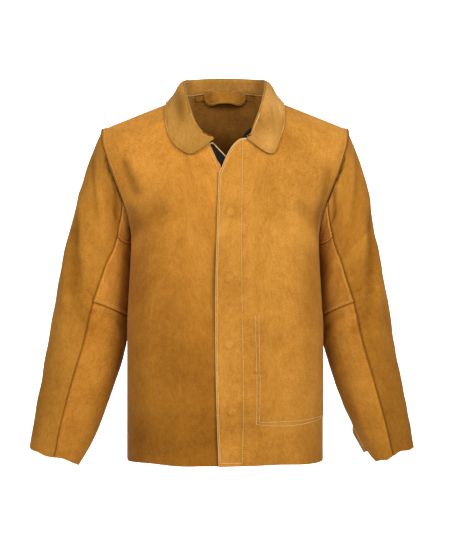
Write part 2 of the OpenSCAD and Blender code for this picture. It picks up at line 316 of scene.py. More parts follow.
def hide_sheet(name, outer, normal, materials, thick=LEATHER, tone=None, uv_origin=(0, 0),
               edge_strips=(), cut=("bottom", "right", "top", "left"), cut_share=None,
               inside_tone=None):
    """A cut hide from a grid of outer points and normals: face, flesh side and edges.
    edge_strips names the borders whose first strip of cells shows the pale cut edge, and cut
    the borders that are pale in their thickness; the others are sewn away and show the face.
    cut_share gives, for the top border, the first and last shares of it that are pale and how
    many rows of cells below it are too."""
    rows, cols = outer.shape[:2]
    count = rows * cols
    index = np.arange(count).reshape(rows, cols)
    quads = np.stack([index[:-1, :-1], index[1:, :-1], index[1:, 1:], index[:-1, 1:]], -1)
    i, j = rows // 2, cols // 2
    up, right = outer[i + 1, j] - outer[i, j], outer[i, j + 1] - outer[i, j]
    if np.dot(np.cross(up, right), normal[i, j]) < 0:
        quads = quads[..., ::-1]
    slots = np.full(quads.shape[:2], FACE)
    strips = {"left": np.s_[:, 0], "top": np.s_[-1, :]}
    for side in edge_strips:
        slots[strips[side]] = CUT
    quads = quads.reshape(-1, 4)
    rim = border(index)
    ahead = np.roll(rim, -1)
    edge = np.stack([rim, ahead, ahead + count, rim + count], -1)
    points = np.concatenate([outer.reshape(-1, 3), (outer - normal * thick).reshape(-1, 3)])
    corner = points[edge[:, 0]]
    edge_n = np.cross(points[edge[:, 1]] - corner, points[edge[:, 3]] - corner)
    wrong = np.einsum("ij,ij->i", edge_n, points[edge].mean(1) - border(outer, 1)) < 0
    edge[wrong] = edge[wrong][:, ::-1]
    edge_n[wrong] *= -1
    flat_n = normal.reshape(-1, 3)
    loop_n = np.concatenate([flat_n[quads].reshape(-1, 3), -flat_n[quads[:, ::-1]].reshape(-1, 3),
                             np.repeat(unit(edge_n), 4, 0)])
    cells = {"bottom": cols - 1, "right": rows - 1, "top": cols - 1, "left": rows - 1}
    edge_slots = np.concatenate([np.full(n, CUT if k in cut else FACE) for k, n in cells.items()])
    if cut_share:
        first, last, deep = cut_share
        share = 1 - (np.arange(cols - 1) + 0.5) / (cols - 1)
        shown = (share > first) & (share < last)
        start = cols - 1 + rows - 1
        edge_slots[start:start + cols - 1] = np.where(shown, CUT, FACE)
        slots[-deep:, shown[::-1]] = CUT
    u, v = uv_origin[0] + lengths_along(outer, 1), uv_origin[1] + lengths_along(outer, 0)
    uv = np.stack(np.broadcast_arrays(u[None, :], v[:, None]), -1).reshape(-1, 2)
    tone = np.ones(count) if tone is None else np.asarray(tone, float).ravel()
    inside = tone * 0.92 if inside_tone is None else inside_tone.ravel()
    sheet = new_object(name, points, np.concatenate([quads, quads[:, ::-1] + count, edge]), materials)
    slots = np.concatenate([slots.ravel(), np.full(len(quads), FLESH), edge_slots])
    dress(sheet.data, slots, loop_n, np.concatenate([uv, uv]), np.concatenate([tone, inside]))
    return sheet


def blending():
    """A function that bakes a piece's transform into its mesh."""
    def bend(piece):
        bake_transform(piece)
    return bend


def place(piece, follow, slot=None, *nodes):
    """Rides on a body, or is handed to a function; hides the CAD nodes that it stands for. The slot is
    not used.
    """
    if callable(follow):
        follow(piece)
    else:
        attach(piece, follow)
    if nodes:
        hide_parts(*nodes)


# A stitch is a short thread that dips into the hide at both ends. Each ring of it has a place
# along the stitch, a share of the thread's radius and a rise.
FINE = np.linspace(0, 1, 160)                     # steps along a line to be sewn
ARMHOLE_Z = mix(ARMPIT_Z + 4, TIP_Z - 4, FINE)
STITCH_SIDES = 6
STITCH_LIFT, STITCH_FLAT = 0.25, 0.8
STITCH_RINGS = [(-0.5, 0.45, -0.5), (-0.36, 0.95, 0.1), (0, 1.0, 0.35),
                (0.36, 0.95, 0.1), (0.5, 0.45, -0.5)]


def stitch_row(path, normal, pitch=3.4, length=2.7, radius=0.5):
    """Points of the stitches along a path, ring by ring."""
    gaps = np.linalg.norm(np.diff(path, axis=0), axis=1)
    where = np.concatenate([[0], np.cumsum(gaps)])
    number = max(1, int(where[-1] / pitch))
    mids = (np.arange(number) + 0.5) * where[-1] / number

    def at(places, values):
        return np.stack([np.interp(places, where, values[:, k]) for k in range(3)], -1)

    run = unit(at(mids + 0.5, path) - at(mids - 0.5, path))
    across = unit(np.cross(at(mids, normal), run))
    up = np.cross(run, across)
    angle = np.arange(STITCH_SIDES) * 2 * np.pi / STITCH_SIDES
    rings = []
    for t, r, h in STITCH_RINGS:
        mid = at(mids, path) + run * t * length + up * (STITCH_LIFT + h * radius)
        wide = across[:, None] * (np.cos(angle) * r * radius)[None, :, None]
        high = up[:, None] * (np.sin(angle) * r * radius * STITCH_FLAT)[None, :, None]
        rings.append(mid[:, None] + wide + high)
    return np.stack(rings, 1).reshape(-1, 3)


def sew(name, material, follow, *rows):
    """Makes one object of rows of stitches, which rides on a body or is handed to a function."""
    points = np.concatenate(rows)
    k = np.arange(STITCH_SIDES)
    last = (len(STITCH_RINGS) - 1) * STITCH_SIDES
    one = []
    for p in range(0, last, STITCH_SIDES):
        low, ahead = p + k, p + np.roll(k, -1)
        one += np.stack([low, ahead, ahead + STITCH_SIDES, low + STITCH_SIDES], -1).tolist()
    one += [k[::-1].tolist(), (last + k).tolist()]
    starts = range(0, len(points), last + STITCH_SIDES)
    faces = [[start + i for i in face] for start in starts for face in one]
    place(new_object(name, points, faces, [material]), follow)


# ---------------------------------------------------------------- materials
def srgb(*levels):
    parts = [level / 255 for level in levels]
    return tuple(c / 12.92 if c <= 0.04045 else ((c + 0.055) / 1.055) ** 2.4 for c in parts) + (1.0,)


def new_material(name, **settings):
    """A material, its node tree and its shader; a setting's name is a shader input's, in words."""
    material = bpy.data.materials.new(name)
    material.use_nodes = True
    shader = material.node_tree.nodes["Principled BSDF"]
    for key, value in settings.items():
        shader.inputs[key.replace("_", " ")].default_value = value
    return material, material.node_tree, shader


def add_node(tree, kind, links=None, **settings):
    """A shader node with its inputs linked by links, or set by settings."""
    node = tree.nodes.new("ShaderNode" + kind)
    for key, value in settings.items():
        node.inputs[key].default_value = value
    for key, source in (links or {}).items():
        tree.links.new(source, node.inputs[key])
    return node


def uv_of(tree):
    node = add_node(tree, "UVMap")
    node.uv_map = "UVMap"
    return node.outputs["UV"]


def noise(tree, vector, scale, detail=4.0, rough=0.6, stretch=(1, 1, 1), offset=0.0):
    mapping = add_node(tree, "Mapping", {"Vector": vector}, Scale=stretch,
                       Location=(offset, offset * 0.37, 0))
    node = add_node(tree, "TexNoise", {"Vector": mapping.outputs["Vector"]}, Scale=scale,
                    Detail=detail, Roughness=rough)
    return node.outputs["Fac"]


def math_node(tree, operation, a, b):
    node = tree.nodes.new("ShaderNodeMath")
    node.operation = operation
    for socket, value in zip(node.inputs, (a, b)):
        if isinstance(value, (int, float)):
            socket.default_value = value
        else:
            tree.links.new(value, socket)
    return node.outputs[0]


def ramp_to(tree, target, factor, low, high, low_at=0.0, high_at=1.0):
    """Drives an input by a ramp between two colours."""
    ramp = add_node(tree, "ValToRGB", {"Fac": factor})
    stops = ramp.color_ramp.elements
    stops[0].position, stops[0].color = low_at, low
    stops[1].position, stops[1].color = high_at, high
    tree.links.new(ramp.outputs["Color"], target)
    return ramp.color_ramp


def add_relief(tree, shader, height, strength, distance):
    relief = add_node(tree, "Bump", {"Height": height}, Strength=strength, Distance=distance)
    tree.links.new(relief.outputs["Normal"], shader.inputs["Normal"])


def toned(tree, target):
    """Drives an input by a colour darkened by the mesh's own tone, which holds random dye variation and
    painted shade, most in the blue so that painted shade turns olive; returns the input for that colour."""
    tone = add_node(tree, "Attribute")
    tone.attribute_name = "tone"
    deeper = add_node(tree, "CombineColor")
    for channel, exponent in (("Red", 1.0), ("Green", 1.18), ("Blue", 2.1)):
        level = math_node(tree, "POWER", tone.outputs["Fac"], exponent)
        tree.links.new(level, deeper.inputs[channel])
    blend = tree.nodes.new("ShaderNodeMix")
    blend.data_type = "RGBA"
    blend.blend_type = "MULTIPLY"
    blend.inputs["Factor"].default_value = 1.0
    tree.links.new(deeper.outputs["Color"], blend.inputs["B"])
    tree.links.new(blend.outputs["Result"], target)
    return blend.inputs["A"]


def suede(name, light, middle, dark, offset, nap=1.0):
    """Napped split hide: mottled dye, short brushed streaks, fine fibres, darkened by the mesh's tone,
    which holds painted shade as well as dye variation.
    """
    material, tree, shader = new_material(name, Roughness=0.93, Specular_IOR_Level=0.12,
                                          Sheen_Weight=0.2, Sheen_Roughness=0.45,
                                          Sheen_Tint=srgb(255, 214, 150))
    at = uv_of(tree)
    broad = noise(tree, at, 7.0, 3, 0.55, offset=offset)
    cloud = noise(tree, at, 26.0, 5, 0.62, offset=offset + 3)
    streak = noise(tree, at, 30.0, 5, 0.65, (1.0, 0.28, 1), offset + 7)
    fleck = noise(tree, at, 120.0, 4, 0.65, (1.0, 0.7, 1), offset + 17)
    grain = noise(tree, at, 330.0, 4, 0.7, offset=offset + 11)
    fibre = noise(tree, at, 1150.0, 3, 0.75, (1.0, 0.6, 1), offset + 13)
    shares = [(broad, 0.32), (cloud, 0.272), (streak, 0.16), (fleck, 0.36), (grain, 0.56), (fibre, 0.26)]
    total = math_node(tree, "MULTIPLY", *shares[0])
    for part, share in shares[1:]:
        total = math_node(tree, "ADD", total, math_node(tree, "MULTIPLY", part, share))
    total = math_node(tree, "DIVIDE", total, sum(share for part, share in shares))
    ramp = ramp_to(tree, toned(tree, shader.inputs["Base Color"]), total, dark, light, 0.38, 0.62)
    ramp.interpolation = "B_SPLINE"
    ramp.elements.new(0.5).color = middle
    height = math_node(tree, "ADD", math_node(tree, "MULTIPLY", grain, 0.6),
                       math_node(tree, "MULTIPLY", fibre, 0.4))
    add_relief(tree, shader, height, 0.55 * nap, 0.0012)
    return material


def raw_edge():
    """Pale, fuzzy cut edge of the hide."""
    material, tree, shader = new_material("cut_edge", Roughness=0.95)
    fuzz = noise(tree, uv_of(tree), 420.0, 4, 0.7)
    ramp_to(tree, shader.inputs["Base Color"], fuzz, srgb(176, 128, 68), srgb(220, 186, 128), 0.3, 0.62)
    add_relief(tree, shader, fuzz, 0.7, 0.0008)
    return material


def thread(name, dark, light):
    """Twisted cotton thread."""
    material, tree, shader = new_material(name, Roughness=0.8, Sheen_Weight=0.2)
    coordinates = add_node(tree, "TexCoord")
    twist = add_node(tree, "TexWave", {"Vector": coordinates.outputs["Object"]}, Scale=900.0,
                     Distortion=1.5)
    ramp_to(tree, shader.inputs["Base Color"], twist.outputs["Fac"], dark, light)
    return material


def twill():
    """Black cotton tape with a diagonal weave."""
    material, tree, shader = new_material("black_twill", Roughness=0.9, Specular_IOR_Level=0.2)
    turn = add_node(tree, "Mapping", {"Vector": uv_of(tree)}, Rotation=(0, 0, math.radians(38)))
    weave = add_node(tree, "TexWave", {"Vector": turn.outputs["Vector"]}, Scale=210.0,
                     Distortion=0.6, Detail=2.0)
    ramp_to(tree, shader.inputs["Base Color"], weave.outputs["Fac"], srgb(8, 7, 8), srgb(25, 22, 23))
    add_relief(tree, shader, weave.outputs["Fac"], 0.6, 0.0005)
    return material


def nickel():
    """Plated stud metal, duller in places."""
    material, tree, shader = new_material("stud_nickel", Metallic=1.0,
                                          Base_Color=(0.62, 0.61, 0.58, 1))
    coordinates = add_node(tree, "TexCoord")
    wear = noise(tree, coordinates.outputs["Object"], 260.0, 4, 0.6)
    ramp_to(tree, shader.inputs["Roughness"], wear, (0.2, 0.2, 0.2, 1), (0.42, 0.42, 0.42, 1))
    return material


GOLD = dict(light=srgb(216, 154, 70), middle=srgb(192, 130, 48), dark=srgb(150, 94, 26))
WARM = dict(light=srgb(212, 147, 62), middle=srgb(188, 124, 42), dark=srgb(146, 88, 22))
PALE = dict(light=srgb(208, 158, 84), middle=srgb(186, 133, 62), dark=srgb(146, 98, 38))
DEEP = dict(light=srgb(178, 122, 50), middle=srgb(150, 96, 34), dark=srgb(112, 68, 20))
EDGE, TWILL, NICKEL = raw_edge(), twill(), nickel()
THREAD = thread("cream_thread", srgb(196, 158, 98), srgb(234, 208, 156))
TAN_THREAD = thread("tan_thread", srgb(168, 122, 62), srgb(208, 164, 98))
INSIDE = suede("hide_inside", **DEEP, offset=31, nap=1.4)


# Materials of each piece of hide: its face, its flesh side and its cut edge
FRONT_L, FRONT_R, BACK, COLLAR, SLEEVE_L, SLEEVE_R, UNDER_L, UNDER_R = (
    [suede("hide_" + name, **dye, offset=offset), INSIDE, EDGE] for name, dye, offset in (
        ("left_front", GOLD, 1.0), ("right_front", WARM, 5.0), ("back", GOLD, 9.0),
        ("collar", PALE, 14.0), ("left_sleeve", GOLD, 17.0), ("right_sleeve", GOLD, 23.0),
        ("left_under_sleeve", GOLD, 27.0), ("right_under_sleeve", WARM, 29.0)))

# ---------------------------------------------------------------- camera, light and floor
DISTANCE = 3.0           # from the camera to the plane of the side seams
VIEW_HEIGHT = 1.1357     # how much of that plane the picture takes in
CAMERA_Z = 371.0
SENSOR = 36.0


def add_camera():
    camera = bpy.data.objects.new("camera", bpy.data.cameras.new("camera"))
    camera.data.sensor_width = SENSOR
    camera.data.lens = SENSOR * DISTANCE / VIEW_HEIGHT
    camera.location = to_row([0, 0, CAMERA_Z]) - np.array([0, DISTANCE, 0])
    camera.rotation_euler = (math.radians(90), 0, 0)
    bpy.context.scene.collection.objects.link(camera)
    bpy.context.scene.camera = camera


def add_light(name, spot, target, size, watts):
    data = bpy.data.lights.new(name, "AREA")
    data.shape = "RECTANGLE"
    data.size, data.size_y = size
    data.energy = watts
    light = bpy.data.objects.new(name, data)
    light.location = spot
    light.rotation_euler = (Vector(target) - Vector(spot)).to_track_quat("-Z", "Y").to_euler()
    bpy.context.scene.collection.objects.link(light)


def add_studio():
    """A pale floor under the hung jacket, sweeping up into a backdrop; lengths in metres."""
    floor_z = HEM_Z - 0.9
    front, wall, top, half = -4.0, 6.8, 7.0, 7.0
    sweep = 1.6
    turn = np.linspace(0, math.pi / 2, 24)
    curve = [(wall - sweep + sweep * math.sin(a), sweep - sweep * math.cos(a)) for a in turn]
    run = [(front, 0.0)] + curve + [(wall, top)]
    points = [(x, y, floor_z + z) for y, z in run for x in (-half, half)]
    faces = [(2 * k, 2 * k + 1, 2 * k + 3, 2 * k + 2) for k in range(len(run) - 1)]
    mesh = bpy.data.meshes.new("studio_floor")
    mesh.from_pydata(points, [], faces)
    white = new_material("studio_white", Base_Color=(0.9, 0.9, 0.9, 1), Roughness=0.9,
                         Specular_IOR_Level=0.1)[0]
    mesh.materials.append(white)
    for p in mesh.polygons:
        p.use_smooth = True
    floor = bpy.data.objects.new("studio_floor", mesh)
    bpy.context.scene.collection.objects.link(floor)
    world = bpy.data.worlds.new("studio")
    world.use_nodes = True
    sky = world.node_tree.nodes["Background"]
    sky.inputs["Color"].default_value = (1, 1, 1, 1)
    sky.inputs["Strength"].default_value = 0.36
    bpy.context.scene.world = world
    chest = (0, SIDE_Y, HEM_Z + 0.42)
    add_light("key", (-1.3, -2.0, HEM_Z + 2.2), chest, (1.2, 1.2), 44)
    add_light("second_key", (1.4, -2.0, HEM_Z + 2.0), chest, (1.2, 1.2), 38)
    add_light("fill", (1.9, -2.4, HEM_Z + 0.9), chest, (1.4, 1.8), 24)
    add_light("back_wash", (0, 3.4, HEM_Z + 2.9), (0, 6.7, HEM_Z + 0.6), (3.5, 1.0), 420)
    bpy.context.scene.view_settings.view_transform = "Standard"


add_camera()
add_studio()


def bend_front():
    """The function that a front's pieces are handed to; it only bakes each piece's transform into its
    mesh."""
    return blending()


bend_left, bend_right = bend_front(), bend_front()


# ---------------------------------------------------------------- fronts
def left_edge(z):
    return FRONT_CORNER_X - 6.5 * np.sin(np.pi * clip01(z / 560))


def right_edge(z):
    return np.full(np.shape(z), RIGHT_EDGE_X)


def left_top(x):
    """Top edge of the left front, from its corner up to the end of the collar."""
    reach = COLLAR_END + CLOSURE_SHIFT - FRONT_CORNER_X
    return NECK_FRONT_Z - CORNER_DROP * (1 - clip01((x - FRONT_CORNER_X) / reach)) ** 2.4


def tuck(x):
    """How far the right front is drawn in, to lie under the left one."""
    return 4.4 * smooth((100 - x) / 78)


STUD_X, STUD_Z0, STUD_PITCH, STUDS = 12.0, 108.0, 130.0, 4
LUMP_X = [13.5, 8.0, 6.5, 10.0]     # where each stud shows through, from the lowest up
PLACKET_X = 34.0
POCKET_X, POCKET_TOP = 61.0, 305.0
POCKET_ROW_GAP = 6.0

# Folds: where each starts and ends, its width and its height; x as if on the left front
FRONT_FOLDS = {
    1: [((212, 588), (190, 480), 11, -6.0), ((188, 600), (170, 500), 12, 2.6),
        ((186, 470), (140, 516), 12, -3.4), ((180, 440), (120, 450), 16, 2.2),
        ((110, 430), (125, 120), 34, 3.0)],
    -1: [((208, 606), (178, 528), 11, -6.0), ((190, 608), (162, 540), 14, 3.0),
         ((192, 462), (112, 506), 16, -4.6), ((190, 500), (120, 545), 14, 2.8),
         ((110, 430), (125, 120), 34, -2.6)]}
SHARED_FOLDS = [((176, 470), (96, 436), 22, 2.6), ((168, 430), (172, 300), 14, -2.4),
                ((150, 650), (116, 560), 30, 1.8), ((66, 560), (80, 380), 26, -1.8),
                ((170, 260), (150, 60), 26, 2.4)]
# Shades: the same, with the share of light that each takes away
FRONT_SHADES = {1: [((209, 590), (191, 476), 9, 0.26), ((186, 468), (140, 516), 13, 0.12)],
                -1: [((206, 602), (178, 530), 10, 0.26), ((190, 462), (112, 508), 17, 0.24)]}
SHARED_SHADES = [((188, 520), (190, 440), 11, 0.24), ((184, 430), (180, 300), 20, 0.16)]


def stud_distances(x, z):
    """How far a point is from each place where a stud shows through."""
    return [np.hypot(x - lump, z - STUD_Z0 - k * STUD_PITCH) for k, lump in enumerate(LUMP_X)]


def placket_relief(x, z):
    """Studs, doubled edge, puckered seams and pocket, which only the left front shows."""
    h = sum(1.7 * smooth((10.5 - d) / 5) - 0.5 * bump(d - 12, 3) for d in stud_distances(x, z))
    edge = x - left_edge(z)
    h += 0.8 * smooth((PLACKET_X - x) / 4) - 0.55 * bump(x - PLACKET_X, 1.8) - 0.4 * bump(edge - 3.5, 1.6)
    pucker = 1.0 * ripple(x * 0.35, z, 51, 24) + 0.6 * ripple(x * 0.5, z, 52, 12)
    h += pucker * (bump(x - PLACKET_X, 9) + 0.8 * bump(edge - 4, 8))
    below = smooth((POCKET_TOP - z) / 12)
    rows = bump(x - POCKET_X - 4, 10) + bump(z - 90, 9) * smooth((x - POCKET_X) / 6)
    h += 0.5 * pucker * rows * below
    h += 1.0 * smooth((x - POCKET_X) / 4) * below * smooth((z - 86) / 4)
    return h + folds(x, z, [((48, 183), (74, 180), 2.5, -1.8), ((30, 470), (-10, 440), 9, 0.8)])


def front_relief(side, x, z):
    """Height of folds, seams and studs over the plain surface of a front."""
    rim = edge_x(z) - x
    h = 2.2 * ripple(x, z, 3 + side, 150) + 0.8 * ripple(x, z, 8 + side, 55)
    h = h * smooth((seam_z(x) - z) / 60) + folds(x, z, FRONT_FOLDS[side] + SHARED_FOLDS)
    h = h * smooth(rim / 16)
    armhole = smooth((z - ARMPIT_Z + 20) / 40)
    h += armhole * (1.3 * bump(rim - 3.5, 4) - 0.8 * bump(rim, 2) - 0.7 * bump(rim - 8, 2.0))
    h += (1 - armhole) * -0.6 * bump(rim, 4)
    h += -0.9 * bump(seam_z(x) - z, 3)
    return h + (placket_relief(x, z) if side > 0 else crease(x, z, (8, 300), (14, 60), 9, 1.2))


def front_base(side):
    def point(x, z):
        y = front_y(x, z) - GAP + (tuck(x) if side < 0 else 0.0)
        return np.stack(np.broadcast_arrays(x, y, z), -1)
    return point


def front_surface(side):
    return lifted(front_base(side), lambda x, z: front_relief(side, x, z))


def top_path(side):
    """Top edge of a front from its free corner along the neckline to the shoulder tip, as x and z."""
    if side > 0:
        x = np.linspace(FRONT_CORNER_X, COLLAR_END + CLOSURE_SHIFT, 19)[:-1]
        corner = np.stack([x, left_top(x)], -1)
        start = 1.0
    else:
        steps = np.linspace(0, 1, 9)[:-1]
        corner = np.stack([mix(RIGHT_EDGE_X, 36, steps), mix(RIGHT_CORNER_Z, 648, steps)], -1)
        start = 0.925
    t = np.linspace(start, 0.5, 19)
    seam = neck_seam(t)
    neck = np.stack([seam[:, 0] + side * shift(t, 0.0, side), seam[:, 2]], -1)
    x = mix(NECK_HALF, TIP_X, np.linspace(0, 1, 37)[1:])
    return np.concatenate([corner, neck, np.stack([x, seam_z(x)], -1)])


def rising_rows(hem, tops):
    """Heights of a grid's rows above the hem, closer together where the shoulder rounds over."""
    straight = np.linspace(0, 1, 124)[:, None]
    arc = np.linspace(0, math.pi / 2, 24)[1:, None]
    turn_z = tops[None, :] - SHOULDER_ROUND
    return np.concatenate([hem + straight * (turn_z - hem), turn_z + SHOULDER_ROUND * np.sin(arc)])


def front_grid(side):
    free = left_edge if side > 0 else right_edge
    tops = top_path(side)
    first = free(np.zeros(1))[0]
    turn = np.linspace(math.asin(first / HEM_HALF), math.pi / 2, len(tops) - 1)
    q_low = (HEM_HALF * np.sin(turn) - first) / (HEM_HALF - first)
    q_low = np.insert(q_low, 1, 1.0 / (HEM_HALF - first))
    limit = edge_x(tops[:, 1])
    start = free(tops[:, 1])
    q_top = (tops[:, 0] - start) / (limit - start)
    q_top[1] = min(q_top[1], 1.0 / (limit[1] - start[1]))
    hem = 1.6 * ripple(q_low * 200, 0 * q_low, 5 + side, 90)
    if side < 0:
        hem = hem + 3.0 * smooth((q_low - 0.97) / 0.03)
    z = rising_rows(hem, tops[:, 1])
    q = mix(q_low, q_top, smooth(z / tops[:, 1]))
    return mix(free(z), edge_x(z), q), z


def front_tone(side, x, z):
    """Random dye variation, dark seam lines and painted light: painted shade towards the hem and the
    sides, in the armhole folds, beside the seams and stitch lines and under the left front's edge,
    with painted highlights on the stud lumps.
    """
    tone = 1.0 + 0.06 * ripple(x, z, 40 + side, 170) + 0.04 * ripple(x, z, 44 + side, 60)
    rim = edge_x(z) - x
    # a dark seam line at the armhole and side seam, with painted shade beside it
    tone = tone * (1 - 0.36 * bump(rim, 2.0)) * (1 - 0.12 * bump(rim, 12))
    tone = tone * (1 - 0.08 * bump(seam_z(x) - z, 4))
    tone = shaded(tone, x, z, FRONT_SHADES[side] + SHARED_SHADES)
    # painted shade at the lower sides of both fronts
    tone *= 1 - 0.22 * smooth((150 - z) / 150) * smooth((x - 130) / 70)
    if side < 0:
        # painted shade: the right front darkens strongly towards the hem
        tone *= mix(0.58, 1.04, smooth((z - 30) / 600))
        # painted shadow of the left front's edge on the right front
        tone *= 1 - 0.20 * bump(x - 6, 14) * smooth((560 - z) / 60)
        return tone
    # painted shade: the left front darkens towards the hem; it is also a little darker above z = 600
    tone *= mix(0.80, 0.94, smooth((z + 60) / 640)) * (1 - 0.06 * smooth((z - 600) / 60))
    tone *= 1 + 0.10 * smooth((PLACKET_X - x) / 10) * smooth((420 - z) / 250)
    # painted shade towards the side seam, below the chest
    tone *= 1 - 0.10 * smooth((x - 110) / 90) * smooth((600 - z) / 80)
    # a painted highlight on each stud lump, with a ring of painted shade round it
    for d in stud_distances(x, z):
        tone = tone * (1 + 0.09 * smooth((9 - d) / 3) - 0.10 * bump(d - 11, 2))
    # painted shade along the stitch lines of the placket and the pocket
    for line in (PLACKET_X, POCKET_X, POCKET_X + POCKET_ROW_GAP):
        tone *= 1 - 0.06 * bump(x - line, 2.5)
    return tone


def build_front(side, materials, bend):
    name = SIDE_NAME[side] + "_front"
    surface = front_surface(side)
    x, z = front_grid(side)
    hide = hide_sheet(name + "_hide", *sample(surface, side, x, z), materials,
                      tone=front_tone(side, x, z), edge_strips=("left",), cut=("bottom", "left"),
                      cut_share=(0, 0.25, 4) if side > 0 else (0, 0.13, 1))
    place(hide, bend, "hide", name + "_flap", name + "_side", name + "_upper")

    def row(x, z, radius=0.5):
        x, z = np.broadcast_arrays(np.asarray(x, float), np.asarray(z, float))
        return stitch_row(*sample(surface, side, x, z), radius=radius)

    thin = 0.43
    if side > 0:
        edge_z, placket_z = mix(8, 566, FINE), mix(7, 640, FINE)
        x = np.linspace(-12.0, 40.0, 60)
        rows = [row(left_edge(edge_z) + 3.6, edge_z), row(x + 3.4, left_top(x) - 3.2),
                row(PLACKET_X + 1.8 * np.sin(placket_z / 92.0), placket_z, thin),
                row(mix(-13.5, PLACKET_X, FINE), 7.0)]
        for inset, rise, sag in ((0.0, -1.5, 6.0), (POCKET_ROW_GAP, 3.0, 1.5)):
            low = POCKET_LOW[2] + rise
            wander = 1.2 * np.sin(FINE * 5 + inset)
            rows.append(row(POCKET_X + inset + wander, mix(low, POCKET_HIGH[2], FINE), thin))
            level = low - sag * np.sin(np.pi * FINE) + 3.5 * FINE
            rows.append(row(mix(POCKET_X + inset, 196, FINE), level, thin))
    else:
        rows = [row(RIGHT_EDGE_X + 4.0, mix(6, 580, FINE)),
                row(mix(RIGHT_EDGE_X, 36, FINE) + 4.5, mix(RIGHT_CORNER_Z, 646, FINE) - 2)]
    sew(name + "_stitches", THREAD, bend, *rows)
    x = edge_x(ARMHOLE_Z) - 6
    sew(name + "_armhole_stitches", TAN_THREAD, bend, row(x, np.minimum(ARMHOLE_Z, seam_z(x) - 3)))


# ---------------------------------------------------------------- back
def back_relief(x, z):
    h = 1.8 * ripple(x, z, 21, 170) + 0.5 * ripple(x, z, 22, 60)
    h = h * smooth((back_top(x) - z) / 60) * smooth((edge_x(z) - np.abs(x)) / 30)
    rim = edge_x(z) - np.abs(x)
    armhole = smooth((z - ARMPIT_Z + 20) / 40)
    h += armhole * (1.6 * bump(rim - 3, 4) - 1.4 * bump(rim, 2) - 0.7 * bump(rim - 9, 2.2))
    h += (1 - armhole) * -1.0 * bump(rim, 4)
    for s in (-1, 1):
        h += folds(s * x, z, [((200, 600), (150, 430), 24, 3.5), ((185, 560), (110, 300), 30, -3.0),
                              ((90, 420), (75, 60), 40, 2.4 + 0.6 * s)])
    return h + folds(x, z, [((-10, 400), (15, 40), 38, -2.6), ((-60, 690), (60, 690), 22, 1.5)])


def back_base(x, z):
    drop = back_top(x) - z
    y = back_y(x, z) + GAP + 1.2 * smooth(1 - drop / 24)
    return np.stack(np.broadcast_arrays(x, y, z), -1)


def flip(surface):
    """The same surface with its first coordinate running the other way, so its normals point out."""
    return lambda a, b: surface(-a, b)


def build_back():
    base = flip(back_base)
    surface = lifted(base, lambda a, z: back_relief(-a, z))
    shoulder = NECK_HALF + (TIP_X - NECK_HALF) * np.sin(np.linspace(math.pi / 2, 0.05, 34))
    neck = NECK_HALF * np.sin(np.linspace(math.pi / 2, -math.pi / 2, 61))
    tops = np.concatenate([shoulder, neck, -shoulder[::-1]])
    z_top = np.where(np.abs(tops) < NECK_HALF, back_neck(tops), seam_z(tops))
    z = rising_rows(1.6 * ripple(tops, 0 * tops, 30, 110), z_top)
    x = tops[None] / TIP_X * edge_x(z)
    # random dye variation; darker along the armhole and side seams, a dark seam line with painted shade
    # beside it
    tone = (1 + 0.05 * ripple(x, z, 33, 160)) * (1 - 0.15 * bump(edge_x(z) - np.abs(x), 6))
    # painted shade: darker towards the hem
    tone = tone * mix(0.78, 1.03, smooth((z + 60) / 640))
    # painted shade on the flesh side: the jacket's inside grows dark below the neck
    deep = mix(0.42, 1.12, smooth((z - 600) / 130)) * (1 + 0.10 * ripple(x, z, 35, 60))
    hide = hide_sheet("back_hide", *sample(surface, 1, -x, z), BACK, tone=tone, cut=("bottom",),
                      inside_tone=deep)
    place(hide, "torso", "hide", "back_panel")
    rows = []
    for s in (-1, 1):
        x = s * (edge_x(ARMHOLE_Z) - 9)
        rows.append(stitch_row(*sample(surface, 1, -x, np.minimum(ARMHOLE_Z, seam_z(x) - 3))))
    sew("back_stitches", THREAD, "torso", *rows)


# ---------------------------------------------------------------- fly tapes, studs and pocket
LAYERS = 11.3            # from the left front's face to the back of the facing, less one hide
SLACK = 0.5              # air between a tape and the hide or stud beside it
SOCKET_HEIGHT = 1.9


def strip_grid(x0, x1, z0, top, depth, cols):
    """Points of a strip, from z0 up to its top edge, depth behind the plain front."""
    x = mix(x0, x1, np.linspace(0, 1, cols))[None, :] + np.zeros((130, 1))
    z = z0 + (top(x[0])[None, :] - z0) * np.linspace(0, 1, 130)[:, None]
    return np.stack([x, front_y(x, z) - GAP + depth, z], -1)


def grid_normals(grid, toward):
    n = unit(np.cross(np.gradient(grid, axis=1), np.gradient(grid, axis=0)))
    return n if (n * np.asarray(toward, float)).sum(-1).mean() > 0 else -n


def left_tape_top(x):
    """Just under the hide's top edge, with an end that shows above it beside the collar."""
    return left_top(x) - 5 + smooth((x - 34) / 2) * (12 + 1.0 * np.maximum(0, x - 36))


def layer_top(x):
    """Upper edge of the facing, which slopes down from the neck to both sides."""
    return 638.0 - 1.08 * np.maximum(0, x + 24) - 0.25 * np.maximum(0, -24 - x)


def build_fly():
    flat = strip_grid(-9, 52, 6, left_tape_top, 0, 44)
    face, normal = sample(front_surface(1), 1, flat[..., 0], flat[..., 2])
    left = face - (LEATHER + SLACK) * normal
    right = strip_grid(-32, 38, 6, lambda x: layer_top(x) - 3, LAYERS - LEATHER - TAPE, 34)
    facing = strip_grid(-35, 40, 3, layer_top, LAYERS - LEATHER + GAP, 36)
    tape = [TWILL] * 3
    for name, grid, materials, thick, strips, bend, slot, node in (
            ("left_fly_tape", left, tape, TAPE, (), bend_left, "stud_tape", "left_stud_tape"),
            ("right_fly_tape", right, tape, TAPE, (), bend_right, "stud_tape", "right_stud_tape"),
            ("right_fly_facing", facing, FRONT_R, LEATHER, ("top",), bend_right, "hide", "right_facing")):
        piece = hide_sheet(name, grid, grid_normals(grid, (0, -1, 0)), materials, thick=thick,
                           edge_strips=strips)
        place(piece, bend, slot, node)


